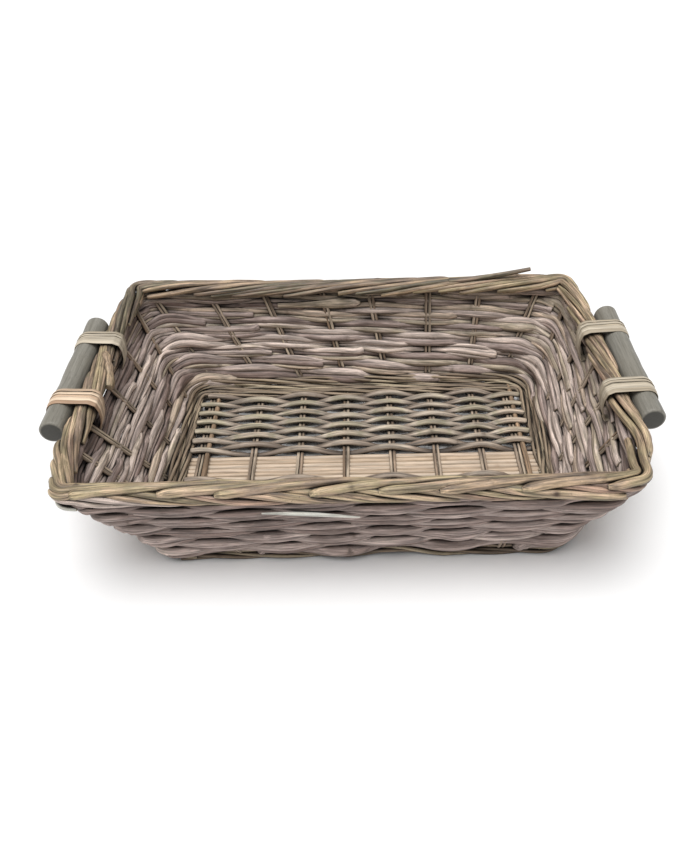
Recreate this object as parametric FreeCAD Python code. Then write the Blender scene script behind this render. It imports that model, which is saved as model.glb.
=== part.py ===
import FreeCAD, Part
import math
import os

# A low willow log basket: an oblong base woven on cross sticks with a pale band of straight rods
# through its middle, four flaring walls woven on pairs of stakes, an upsett wale round the foot,
# a plaited border, and a wooden dowel lashed outside each short side of the rim as a handle.
#
# Frame: millimetres, +Z up, +X along the long side, +Y to the back. The origin lies on the surface
# that the basket stands on, under the middle of the whole basket, handles included.
# Woven panels are plain slabs with the true outside shape, channelled for the rods inside them.

Vec = FreeCAD.Vector

# ---------------------------------------------------------------- driving dimensions

rim_length = 510.0              # outside of the border, along X
rim_depth = 351.0               # outside of the border, along Y
rim_height = 131.0              # top of the border
rim_corner_radius = 18.0
rim_hole_corner_radius = 6.0    # of the border's inner edge
rim_bow = 6.5                   # how far the short rim sides bow outwards

border_height = 24.0
border_width = 22.0
border_overhang = 2.0           # how far the border stands out past the wall under it
border_edge_radius = 4.0
wall_top_corner_radius = 34.0   # rounder than the border that stands on it

base_length = 402.0             # outside of the foot, along X
base_depth = 270.0              # outside of the foot, along Y
base_corner_radius = 34.0
base_shift = 10.0               # the foot sits this far to the right of the rim
base_thickness = 12.0

wall_thickness = 11.0
upsett_height = 9.0
upsett_width = 10.0

# The band of straight rods through the base.
strip_rod_count = 6
strip_rod_diameter = 6.0
strip_rod_pitch = 6.25
strip_centre_y = -10.5
strip_end_gap = 3.0             # from the cut ends to the upsett

# Stake pairs that run up the front, across the base and up the back: where each pair lies along X.
long_stake_base_x = [-165.0, -108.0, -57.5, -7.5, 42.5, 90.0, 139.0, 178.0]
long_stake_rim_x = [-228.0, -163.0, -100.0, -33.0, 22.0, 89.5, 148.0, 216.0]

# Stake pairs of the short walls: where each pair lies along Y, front to back.
left_stake_base_y = [-106.0, -74.0, -33.0, 12.0, 61.0, 96.0]
left_stake_rim_y = [-146.0, -103.0, -64.0, 5.0, 72.0, 142.0]
right_stake_base_y = [-104.0, -62.0, -27.0, 3.0, 62.0, 108.0]
right_stake_rim_y = [-141.0, -86.0, -31.0, 22.0, 72.0, 143.0]

stake_diameter = 3.6
stake_bend_radius = 9.0
stake_into_border = 9.0         # how far a stake runs up inside the border
stake_foot_length = 13.0        # how far a short-side stake runs in under the base
end_stick_diameter = 5.6
end_stick_gap = 0.2             # between an end stick and the stake pair beside it

handle_diameter = 23.5
handle_length = 179.0
handle_x = 273.6
handle_y = 4.9
handle_z = 122.0
handle_end_chamfer = 1.5

binding_width = 20.0
binding_thickness = 1.4
binding_offset = 50.0           # from the middle of the handle, along Y
binding_drop = 31.0             # from the rim's top to the place where it passes through the wall
binding_clearance = 0.3

# ---------------------------------------------------------------- worked-out sizes

wall_top = rim_height - border_height
wall_top_length = rim_length - 2 * border_overhang
wall_top_depth = rim_depth - 2 * border_overhang
rim_mitre_inset = border_width + rim_hole_corner_radius
stake_z = strip_rod_diameter + stake_diameter / 2
stake_top = wall_top + stake_into_border
stake_half_gap = stake_diameter / 2 + 0.05
mitre_reach = 80.0              # longer than any corner is wide
far_outside = 400.0             # past every side of the basket


# ---------------------------------------------------------------- outlines

def blend(at_base, at_wall_top, z):
    """A size that changes evenly from the foot to the top of the wall, taken at height z."""
    return at_base + (at_wall_top - at_base) * z / wall_top


def wall_size(z):
    """Length, depth, corner radius and X shift of the wall's outside at height z."""
    length = blend(base_length, wall_top_length, z)
    depth = blend(base_depth, wall_top_depth, z)
    radius = blend(base_corner_radius, wall_top_corner_radius, z)
    shift = blend(base_shift, 0.0, z)
    return length, depth, radius, shift


def rounded_outline(length, depth, radius, shift, z, bow=0.0):
    """A closed oblong wire with round corners; its two short sides can bow outwards."""
    half_x = length / 2
    half_y = depth / 2
    straight_x = half_x - radius
    straight_y = half_y - radius
    diagonal = radius * math.sqrt(0.5)
    edges = []
    for sign in (1, -1):
        side_start = Vec(shift + sign * half_x, -sign * straight_y, z)
        side_middle = Vec(shift + sign * (half_x + bow), 0, z)
        side_end = Vec(shift + sign * half_x, sign * straight_y, z)
        corner_a = Vec(shift + sign * (straight_x + diagonal), sign * (straight_y + diagonal), z)
        long_start = Vec(shift + sign * straight_x, sign * half_y, z)
        long_end = Vec(shift - sign * straight_x, sign * half_y, z)
        corner_b = Vec(shift - sign * (straight_x + diagonal), sign * (straight_y + diagonal), z)
        next_side = Vec(shift - sign * half_x, sign * straight_y, z)
        if bow > 0:
            edges.append(Part.Arc(side_start, side_middle, side_end).toShape())
        else:
            edges.append(Part.LineSegment(side_start, side_end).toShape())
        edges.append(Part.Arc(side_end, corner_a, long_start).toShape())
        edges.append(Part.LineSegment(long_start, long_end).toShape())
        edges.append(Part.Arc(long_end, corner_b, next_side).toShape())
    return Part.Wire(edges)


def wall_outline(z, inset):
    """The wall's outline at height z, moved in by inset."""
    length, depth, radius, shift = wall_size(z)
    return rounded_outline(length - 2 * inset, depth - 2 * inset, radius - inset, shift, z)


def between(lower_wire, upper_wire):
    """The solid between two outlines, with straight sides."""
    return Part.makeLoft([lower_wire, upper_wire], True, True)


def upright(wire, height):
    """The solid that stands on an outline."""
    return Part.Face(wire).extrude(Vec(0, 0, height))


def only_solid(shape):
    """The largest solid of a boolean's result."""
    return max(shape.Solids, key=lambda solid: solid.Volume)


# ---------------------------------------------------------------- rods

def rod(points, diameter, bend_radius):
    """A round rod along straight runs, with an arc of bend_radius at each point between them."""
    edges = []
    start = points[0]
    for before, corner, after in zip(points, points[1:], points[2:]):
        to_before = (before - corner).normalize()
        to_after = (after - corner).normalize()
        half_angle = to_before.getAngle(to_after) / 2
        tangent_length = bend_radius / math.tan(half_angle)
        middle = (to_before + to_after).normalize()
        centre = corner + middle * (bend_radius / math.sin(half_angle))
        arc_start = corner + to_before * tangent_length
        arc_end = corner + to_after * tangent_length
        edges.append(Part.LineSegment(start, arc_start).toShape())
        edges.append(Part.Arc(arc_start, centre - middle * bend_radius, arc_end).toShape())
        start = arc_end
    edges.append(Part.LineSegment(start, points[-1]).toShape())
    direction = points[1] - points[0]
    section = Part.Wire([Part.makeCircle(diameter / 2, points[0], direction)])
    return Part.Wire(edges).makePipeShell([section], True, True)


def long_stake_point(x_base, x_rim, side, z, offset):
    """A point in the middle of the front (side -1) or back (side 1) wall, on a stake's line."""
    depth = wall_size(z)[1]
    share = (z - stake_z) / (stake_top - stake_z)
    x = x_base + (x_rim - x_base) * share + offset
    return Vec(x, side * (depth - wall_thickness) / 2, z)


def long_stake_pair(x_base, x_rim):
    """Two rods side by side, up the front wall, across the base and up the back wall."""
    rods = []
    for offset in (-stake_half_gap, stake_half_gap):
        points = [
            long_stake_point(x_base, x_rim, -1, stake_top, offset),
            long_stake_point(x_base, x_rim, -1, stake_z, offset),
            long_stake_point(x_base, x_rim, 1, stake_z, offset),
            long_stake_point(x_base, x_rim, 1, stake_top, offset),
        ]
        rods.append(rod(points, stake_diameter, stake_bend_radius))
    return Part.Compound(rods)


def side_wall_x(side, z):
    """The middle of the left (side -1) or right (side 1) wall at height z."""
    length, _, _, shift = wall_size(z)
    return shift + side * (length - wall_thickness) / 2


def side_stake_pair(side, y_base, y_rim):
    """Two rods side by side that start under the base and run up a short wall."""
    rods = []
    for offset in (-stake_half_gap, stake_half_gap):
        bend = Vec(side_wall_x(side, stake_z), y_base + offset, stake_z)
        foot = bend - Vec(side * stake_foot_length, 0, 0)
        top = Vec(side_wall_x(side, stake_top), y_rim + offset, stake_top)
        rods.append(rod([foot, bend, top], stake_diameter, stake_bend_radius / 2))
    return Part.Compound(rods)


def end_stick(x_pair, side):
    """The thick straight stick beside the last stake pair at one end of the base."""
    pair_half_width = stake_half_gap + stake_diameter / 2
    x = x_pair + side * (pair_half_width + end_stick_gap + end_stick_diameter / 2)
    reach = base_depth / 2 - upsett_width - strip_end_gap
    z = strip_rod_diameter + end_stick_diameter / 2
    return Part.makeCylinder(end_stick_diameter / 2, 2 * reach, Vec(x, -reach, z), Vec(0, 1, 0))


def strip_rod(index):
    """One straight rod of the pale band, lying along X under the cross sticks."""
    y = strip_centre_y + strip_rod_pitch * (index - (strip_rod_count - 1) / 2)
    length = base_length - 2 * (upsett_width + strip_end_gap)
    start = Vec(base_shift - length / 2, y, strip_rod_diameter / 2)
    return Part.makeCylinder(strip_rod_diameter / 2, length, start, Vec(1, 0, 0))


# ---------------------------------------------------------------- woven panels

def base_panel(side):
    """The woven panel in front of (side -1) or behind (side 1) the band of straight rods."""
    length, depth, radius, shift = wall_size(0.0)
    outline = rounded_outline(length - 2 * upsett_width, depth - 2 * upsett_width,
                              radius - upsett_width, shift, 0.0)
    floor = upright(outline, base_thickness)
    band_edge = strip_centre_y + side * strip_rod_count * strip_rod_pitch / 2
    low_y = min(band_edge, side * far_outside)
    keep = Part.makeBox(2 * far_outside, far_outside - side * band_edge, base_thickness,
                        Vec(-far_outside, low_y, 0))
    return only_solid(floor.common(keep))


def wall_shell():
    """All four walls and their round corners, from the upsett to the border."""
    outside = between(wall_outline(upsett_height, 0.0), wall_outline(wall_top, 0.0))
    inside = between(wall_outline(upsett_height, wall_thickness), wall_outline(wall_top, wall_thickness))
    return outside.cut(inside)


def straight_wall_region(name):
    """The wedge of space that holds one wall's flat part, without its round corners."""
    ends = []
    for z in (upsett_height, wall_top):
        length, depth, radius, shift = wall_size(z)
        along_x = length / 2 - radius
        along_y = depth / 2 - radius
        ends.append((z, shift, along_x, along_y))
    (z0, shift0, x0, y0), (z1, shift1, x1, y1) = ends
    if name in ("front", "back"):
        corners = [Vec(shift0 - x0, 0, z0), Vec(shift0 + x0, 0, z0),
                   Vec(shift1 + x1, 0, z1), Vec(shift1 - x1, 0, z1)]
        direction = Vec(0, far_outside if name == "back" else -far_outside, 0)
    else:
        corners = [Vec(0, -y0, z0), Vec(0, y0, z0), Vec(0, y1, z1), Vec(0, -y1, z1)]
        direction = Vec(far_outside if name == "right" else -far_outside, 0, 0)
    return Part.Face(Part.makePolygon(corners + corners[:1])).extrude(direction)


def corner_name(solid):
    """Which corner of the basket a solid stands at."""
    centre = solid.CenterOfMass
    depth_word = "front" if centre.y < 0 else "back"
    side_word = "left" if centre.x < 0 else "right"
    return depth_word + "_" + side_word


def mitre_region(name, centre_x, centre_y, shift, low_z, high_z):
    """The space of one side of an oblong ring, cut off at 45 degrees through its corners."""
    left = shift - centre_x
    right = shift + centre_x
    corners = {
        "front": [(left, -centre_y), (left - mitre_reach, -centre_y - mitre_reach),
                  (right + mitre_reach, -centre_y - mitre_reach), (right, -centre_y)],
        "back": [(left, centre_y), (left - mitre_reach, centre_y + mitre_reach),
                 (right + mitre_reach, centre_y + mitre_reach), (right, centre_y)],
        "left": [(left, -centre_y), (left - mitre_reach, -centre_y - mitre_reach),
                 (left - mitre_reach, centre_y + mitre_reach), (left, centre_y)],
        "right": [(right, -centre_y), (right + mitre_reach, -centre_y - mitre_reach),
                  (right + mitre_reach, centre_y + mitre_reach), (right, centre_y)],
    }[name]
    points = [Vec(x, y, low_z) for x, y in corners]
    return upright(Part.makePolygon(points + points[:1]), high_z - low_z)


def upsett_ring():
    """The wale round the foot: its outside slopes with the wall, its inside is upright."""
    outside = between(wall_outline(0.0, 0.0), wall_outline(upsett_height, 0.0))
    return outside.cut(upright(wall_outline(0.0, upsett_width), upsett_height))


def border_ring():
    """The plaited border as one closed bar with rounded edges."""
    outline = rounded_outline(rim_length, rim_depth, rim_corner_radius, 0.0, wall_top, rim_bow)
    hole = rounded_outline(rim_length - 2 * border_width, rim_depth - 2 * border_width,
                           rim_hole_corner_radius, 0.0, wall_top, rim_bow)
    ring = upright(outline, border_height).cut(upright(hole, border_height))
    outer_edges = []
    for edge in ring.Edges:
        box = edge.BoundBox
        level = abs(box.ZMax - box.ZMin) < 0.01
        reach_x = max(abs(box.XMin), abs(box.XMax))
        reach_y = max(abs(box.YMin), abs(box.YMax))
        outside = reach_x > rim_length / 2 - border_width / 2 or reach_y > rim_depth / 2 - border_width / 2
        if level and outside:
            outer_edges.append(edge)
    return ring.makeFillet(border_edge_radius, outer_edges)


# ---------------------------------------------------------------- handles

def handle(side):
    """A turned dowel outside one short side of the rim."""
    start = Vec(side * handle_x, handle_y - handle_length / 2, handle_z)
    dowel = Part.makeCylinder(handle_diameter / 2, handle_length, start, Vec(0, 1, 0))
    round_edges = [edge for edge in dowel.Edges if len(edge.Vertexes) == 1]
    return dowel.makeChamfer(handle_end_chamfer, round_edges)


def touch_angle(point_x, point_z, radius, turn):
    """The angle on the dowel where a straight run from a point meets a circle of this radius."""
    away_x = point_x - handle_x
    away_z = point_z - handle_z
    distance = math.hypot(away_x, away_z)
    return math.atan2(away_z, away_x) + turn * math.acos(radius / distance)


def binding(side, y_middle):
    """A flat lashing round the dowel and over the border, which passes through the wall below it."""
    radius = handle_diameter / 2 + binding_clearance
    border_inside = rim_length / 2 - border_width + rim_bow * 0.8 - 2 * binding_clearance
    top = rim_height + 2 * binding_clearance
    low = rim_height - binding_drop
    wall_outside = abs(side_wall_x(side, low)) + wall_thickness / 2 + binding_clearance
    angle_top = touch_angle(border_inside, top, radius, -1)
    angle_low = touch_angle(wall_outside, low, radius, 1)

    def on_dowel(angle):
        return Vec(handle_x + radius * math.cos(angle), 0, handle_z + radius * math.sin(angle))

    loop = Part.Wire([
        Part.LineSegment(Vec(border_inside, 0, low), Vec(border_inside, 0, top)).toShape(),
        Part.LineSegment(Vec(border_inside, 0, top), on_dowel(angle_top)).toShape(),
        Part.Arc(on_dowel(angle_top), on_dowel(0.0), on_dowel(angle_low)).toShape(),
        Part.LineSegment(on_dowel(angle_low), Vec(wall_outside, 0, low)).toShape(),
        Part.LineSegment(Vec(wall_outside, 0, low), Vec(border_inside, 0, low)).toShape(),
    ])
    outer = loop.makeOffset2D(binding_thickness)
    band = Part.Face(outer).cut(Part.Face(loop)).extrude(Vec(0, binding_width, 0))
    if side < 0:
        band = band.mirror(Vec(0, 0, 0), Vec(1, 0, 0))
    band.translate(Vec(0, y_middle - binding_width / 2, 0))
    return only_solid(band)


# ---------------------------------------------------------------- assembly

def make_stakes():
    """Every upright and cross stick, by node name."""
    nodes = {}
    for number, (x_base, x_rim) in enumerate(zip(long_stake_base_x, long_stake_rim_x), 1):
        nodes["stake_pair_%d" % number] = long_stake_pair(x_base, x_rim)
    for number, (y_base, y_rim) in enumerate(zip(left_stake_base_y, left_stake_rim_y), 1):
        nodes["left_stake_pair_%d" % number] = side_stake_pair(-1, y_base, y_rim)
    for number, (y_base, y_rim) in enumerate(zip(right_stake_base_y, right_stake_rim_y), 1):
        nodes["right_stake_pair_%d" % number] = side_stake_pair(1, y_base, y_rim)
    nodes["end_stick_left"] = end_stick(long_stake_base_x[0], 1)
    nodes["end_stick_right"] = end_stick(long_stake_base_x[-1], 1)
    return nodes


def make_weave():
    """The slabs that the weavers fill, the wale and the border, before they are channelled."""
    nodes = {"base_weave_front": base_panel(-1), "base_weave_back": base_panel(1)}
    shell = wall_shell()
    regions = {name: straight_wall_region(name) for name in ("front", "back", "left", "right")}
    for name, region in regions.items():
        nodes["wall_weave_" + name] = only_solid(shell.common(region))
    for solid in shell.cut(list(regions.values())).Solids:
        nodes["corner_weave_" + corner_name(solid)] = solid

    foot = upsett_ring()
    rim = border_ring()
    for name in regions:
        foot_part = mitre_region(name, base_length / 2 - base_corner_radius,
                                 base_depth / 2 - base_corner_radius, base_shift, 0.0, upsett_height)
        rim_part = mitre_region(name, rim_length / 2 - rim_mitre_inset,
                                rim_depth / 2 - rim_mitre_inset, 0.0, wall_top, rim_height)
        nodes["upsett_" + name] = only_solid(foot.common(foot_part))
        nodes["border_" + name] = only_solid(rim.common(rim_part))
    return nodes


def make_handles():
    """Both dowels and their four lashings."""
    nodes = {}
    for side, side_word in ((-1, "left"), (1, "right")):
        nodes["handle_" + side_word] = handle(side)
        for end, end_word in ((-1, "front"), (1, "back")):
            y_middle = handle_y + end * binding_offset
            nodes["binding_%s_%s" % (side_word, end_word)] = binding(side, y_middle)
    return nodes


def channelled(slab, rods):
    """A slab with room cut for every rod that runs through it."""
    near = [piece for piece in rods if slab.BoundBox.intersect(piece.BoundBox)]
    if near:
        slab = slab.cut(near)
    return only_solid(slab)


def write_parts():
    """Build every node and write it to parts/."""
    stakes = make_stakes()
    handles = make_handles()
    through = []
    for shape in stakes.values():
        through.extend(shape.Solids)
    for name, shape in handles.items():
        if name.startswith("binding"):
            through.extend(shape.Solids)

    nodes = dict(stakes)
    for number in range(strip_rod_count):
        nodes["strip_rod_%d" % (number + 1)] = strip_rod(number)
    for name, slab in make_weave().items():
        nodes[name] = channelled(slab, through)
    nodes.update(handles)

    os.makedirs("parts", exist_ok=True)
    for name, shape in nodes.items():
        if not shape.isValid():
            raise ValueError("%s is not a valid shape" % name)
        shape.exportStep("parts/%s.step" % name)
    print(len(nodes), "nodes written")


write_parts()
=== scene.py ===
import math

import bpy
import numpy as np
from mathutils import Matrix, Vector


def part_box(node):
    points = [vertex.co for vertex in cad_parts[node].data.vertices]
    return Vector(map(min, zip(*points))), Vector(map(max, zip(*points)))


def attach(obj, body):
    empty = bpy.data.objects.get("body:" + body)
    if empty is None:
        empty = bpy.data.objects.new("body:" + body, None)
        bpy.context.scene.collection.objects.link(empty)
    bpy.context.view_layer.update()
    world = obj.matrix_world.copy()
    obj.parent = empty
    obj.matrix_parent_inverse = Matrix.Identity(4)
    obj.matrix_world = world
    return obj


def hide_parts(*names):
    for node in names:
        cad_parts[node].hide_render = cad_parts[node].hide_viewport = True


# The looks of the willow log basket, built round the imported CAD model. Everything is in metres.
# Each CAD slab is replaced by the real rods that it stands for, woven in code:
# stakes, weavers, wale, plaited border, wooden handles and split-cane bindings.

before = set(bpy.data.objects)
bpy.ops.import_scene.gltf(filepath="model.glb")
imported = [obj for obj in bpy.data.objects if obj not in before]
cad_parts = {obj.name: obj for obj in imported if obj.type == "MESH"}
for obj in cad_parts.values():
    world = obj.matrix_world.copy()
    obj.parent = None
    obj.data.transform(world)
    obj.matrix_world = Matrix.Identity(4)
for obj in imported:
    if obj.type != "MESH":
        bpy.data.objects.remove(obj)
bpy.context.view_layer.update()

MM = 0.001
WALLS = ("front", "right", "back", "left")          # in the order that a weaver goes round
CORNERS = ("front_left", "front_right", "back_left", "back_right")
WALL_NODES = ["wall_weave_" + wall for wall in WALLS] + ["corner_weave_" + corner for corner in CORNERS]


# ---- measures taken from the frame

def node_points(names):
    """Every vertex of some CAD nodes, one row each."""
    rows = [[vertex.co[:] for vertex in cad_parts[name].data.vertices] for name in names]
    return np.concatenate([np.array(row) for row in rows])


def level_extent(names, z):
    """Lowest and highest corner of some nodes, counting only what lies at height z."""
    points = node_points(names)
    level = points[np.abs(points[:, 2] - z) < 0.2 * MM]
    return level.min(0), level.max(0)


def outline_at(z):
    """Half length, half depth, corner radius and X shift of the wall's outside at height z."""
    low, high = level_extent(WALL_NODES, z)
    straight_low, straight_high = level_extent(["wall_weave_front"], z)
    half_x = (high[0] - low[0]) / 2
    radius = half_x - (straight_high[0] - straight_low[0]) / 2
    return np.array([half_x, (high[1] - low[1]) / 2, radius, (high[0] + low[0]) / 2])


WALL_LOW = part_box("wall_weave_front")[0].z
WALL_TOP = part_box("wall_weave_front")[1].z
OUTLINE_LOW = outline_at(WALL_LOW)
OUTLINE_TOP = outline_at(WALL_TOP)
FRONT_LOW, FRONT_HIGH = level_extent(["wall_weave_front"], WALL_TOP)
WALL_INSET = (FRONT_HIGH[1] - FRONT_LOW[1]) / 2     # half the wall's thickness

RIM_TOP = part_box("border_front")[1].z
RIM_HALF_HEIGHT = (RIM_TOP - WALL_TOP) / 2
RIM_MIDDLE_Z = RIM_TOP - RIM_HALF_HEIGHT
RIM_HALF_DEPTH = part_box("border_back")[1].y
RIM_HALF_LENGTH = OUTLINE_TOP[0] + RIM_HALF_DEPTH - OUTLINE_TOP[1]
RIM_RADIUS = (RIM_HALF_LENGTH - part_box("border_front")[1].x) / (1 - math.sqrt(0.5))
RIM_INSET = 11 * MM             # from the border's outside to the middle of its plait
RIM_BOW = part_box("border_right")[1].x - RIM_HALF_LENGTH

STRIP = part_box("strip_rod_1")[0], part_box("strip_rod_6")[1]
STAKE_RADIUS = 1.8 * MM
LONG_STAKES = 8                 # pairs in the front wall and in the back wall
SIDE_STAKES = 6                 # pairs in each short wall
STAKE_COUNTS = {"front": LONG_STAKES, "right": SIDE_STAKES, "back": LONG_STAKES, "left": SIDE_STAKES}
FIRST_STATION = {"front": 0, "right": LONG_STAKES, "back": LONG_STAKES + SIDE_STAKES,
                 "left": 2 * LONG_STAKES + SIDE_STAKES}


def stake_line(node, axis):
    """Where a stake pair lies along an axis at its foot and at its top, and those two heights."""
    points = node_points([node])
    foot = points[points[:, 2] < points[:, 2].min() + STAKE_RADIUS + 1.0 * MM]
    top = points[points[:, 2] > points[:, 2].max() - 1.2 * STAKE_RADIUS]
    return foot[:, axis].mean(), top[:, axis].mean(), foot[:, 2].mean(), top[:, 2].mean()


def all_stations():
    """Every stake pair in order round the basket: node, wall, and place at the foot and the top."""
    stations = []
    for wall in WALLS:
        numbers = list(range(1, STAKE_COUNTS[wall] + 1))
        if wall in ("back", "left"):
            numbers.reverse()
        for number in numbers:
            along_x = wall in ("front", "back")
            name = "stake_pair_%d" % number
            name = name if along_x else wall + "_" + name
            stations.append((name, wall) + stake_line(name, 0 if along_x else 1))
    return stations


STATIONS = all_stations()
STATION_COUNT = len(STATIONS)
STAKE_Z = STATIONS[0][4]
STAKE_TOP = STATIONS[0][5]


# ---- the wall as a surface

CORNER_SWELL = 13 * MM          # the walls' corners are rounder half way up than at the foot and the rim
# How far half length, half depth, corner radius and X shift shrink from the wall's top into the border.
BORDER_SHRINK = np.array([3.0, 3.0, 14.0, 0.0]) * MM


def middle_size(z):
    """The outline of the wall's middle surface at each height."""
    share = np.minimum((z - WALL_LOW) / (WALL_TOP - WALL_LOW), 1)[..., None]
    size = OUTLINE_LOW + (OUTLINE_TOP - OUTLINE_LOW) * share
    size = size - np.array([WALL_INSET, WALL_INSET, WALL_INSET, 0.0])
    swell = CORNER_SWELL * np.sin(math.pi * np.clip(share, 0, 1))
    size = size + swell * np.array([0.0, 0.0, 1.0, 0.0])
    in_border = np.clip((z - WALL_TOP) / RIM_HALF_HEIGHT, 0, 1)[..., None]
    size = size - in_border * BORDER_SHRINK
    return [size[..., index] for index in range(4)]


def sigma_on_outline(wall, along, size):
    """Distance round the outline, from the left end of the front wall, of a place on one wall."""
    half_x, half_y, radius, shift = size
    long_run = 2 * (half_x - radius)
    short_run = 2 * (half_y - radius)
    turn = radius * math.pi / 2
    if wall == "front":
        return along - shift + half_x - radius
    if wall == "right":
        return long_run + turn + along + half_y - radius
    if wall == "back":
        return long_run + short_run + 2 * turn + half_x - radius - along + shift
    return 2 * long_run + short_run + 3 * turn + half_y - radius - along


def outline_point(sigma, size, bow):
    """The point at a distance round a round-cornered oblong whose short sides bow outwards."""
    half_x, half_y, radius, shift = size
    straight_x = half_x - radius
    straight_y = half_y - radius
    turn = radius * math.pi / 2
    perimeter = 4 * straight_x + 4 * straight_y + 4 * turn
    left = np.mod(sigma, perimeter)
    x = np.zeros_like(left)
    y = np.zeros_like(left)
    done = np.zeros(left.shape, bool)
    sides = (
        (2 * straight_x, -straight_x, -half_y, 1, 0, straight_x, -straight_y, -0.5),
        (2 * straight_y, half_x, -straight_y, 0, 1, straight_x, straight_y, 0.0),
        (2 * straight_x, straight_x, half_y, -1, 0, -straight_x, straight_y, 0.5),
        (2 * straight_y, -half_x, straight_y, 0, -1, -straight_x, -straight_y, 1.0),
    )
    for run, start_x, start_y, step_x, step_y, centre_x, centre_y, start_turn in sides:
        here = ~done & (left <= run)
        x = np.where(here, start_x + step_x * left, x)
        y = np.where(here, start_y + step_y * left, y)
        done |= here
        left = np.where(done, left, left - run)
        here = ~done & (left <= turn)
        angle = start_turn * math.pi + left / radius
        x = np.where(here, centre_x + radius * np.cos(angle), x)
        y = np.where(here, centre_y + radius * np.sin(angle), y)
        done |= here
        left = np.where(done, left, left - turn)
    bulge = bow * np.clip(1 - np.abs(y / straight_y) ** 3, 0, 1)
    return x + np.sign(x) * bulge + shift, y


def station_sigma(index, z, size):
    """Distance round the outline of one stake pair at each height."""
    turns, index = divmod(index, STATION_COUNT)
    _, wall, foot, top, foot_z, top_z = STATIONS[index]
    along = foot + (top - foot) * (z - foot_z) / (top_z - foot_z)
    half_x, half_y, radius, _ = size
    perimeter = 4 * (half_x - radius) + 4 * (half_y - radius) + 2 * math.pi * radius
    return sigma_on_outline(wall, along, size) + turns * perimeter


def sigma_at(station, z, size):
    """Distance round an outline of any place: even steps between one stake pair and the next."""
    low = np.floor(station).astype(int)
    sigma = np.zeros(station.shape)
    for index in np.unique(low):
        here = low == index
        part = [value[here] for value in size]
        start = station_sigma(int(index), z[here], part)
        end = station_sigma(int(index) + 1, z[here], part)
        sigma[here] = start + (end - start) * (station[here] - index)
    return sigma


FOOT_LIFT = 5.0 * MM            # the front foot does not quite touch the floor right of the middle
FOOT_LIFT_X = 45 * MM
FOOT_LIFT_REACH = 32 * MM


def foot_lift(x, y, z):
    """How far the front foot has warped upwards."""
    along = np.exp(-((x - FOOT_LIFT_X) / FOOT_LIFT_REACH) ** 2)
    near_front = smooth_step((-y - 85 * MM) / (45 * MM))
    return FOOT_LIFT * along * near_front * np.clip(1 - z / (60 * MM), 0, 1)


def surface(station, z):
    """Points of the wall's middle surface: station counts stakes round the basket, z is the height."""
    station, z = np.broadcast_arrays(np.asarray(station, float), np.asarray(z, float))
    size = middle_size(z)
    bow = RIM_BOW * np.clip(z / RIM_TOP, 0, 1) ** 2
    x, y = outline_point(sigma_at(station, z, size), size, bow)
    return np.stack([x, y, z + foot_lift(x, y, z)], -1)


def smooth_step(value):
    value = np.clip(value, 0, 1)
    return value * value * (3 - 2 * value)


def unit(vectors):
    return vectors / np.maximum(np.linalg.norm(vectors, axis=-1, keepdims=True), 1e-12)


def outward(station, z):
    """The wall's outward direction at each point."""
    along = surface(station + 0.02, z) - surface(station - 0.02, z)
    rise = surface(station, z + 1 * MM) - surface(station, z - 1 * MM)
    return unit(np.cross(along, rise))


# ---- rods

KNOT_LENGTH = 3.2 * MM
KNOT_DARKNESS = 1.6


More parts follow.
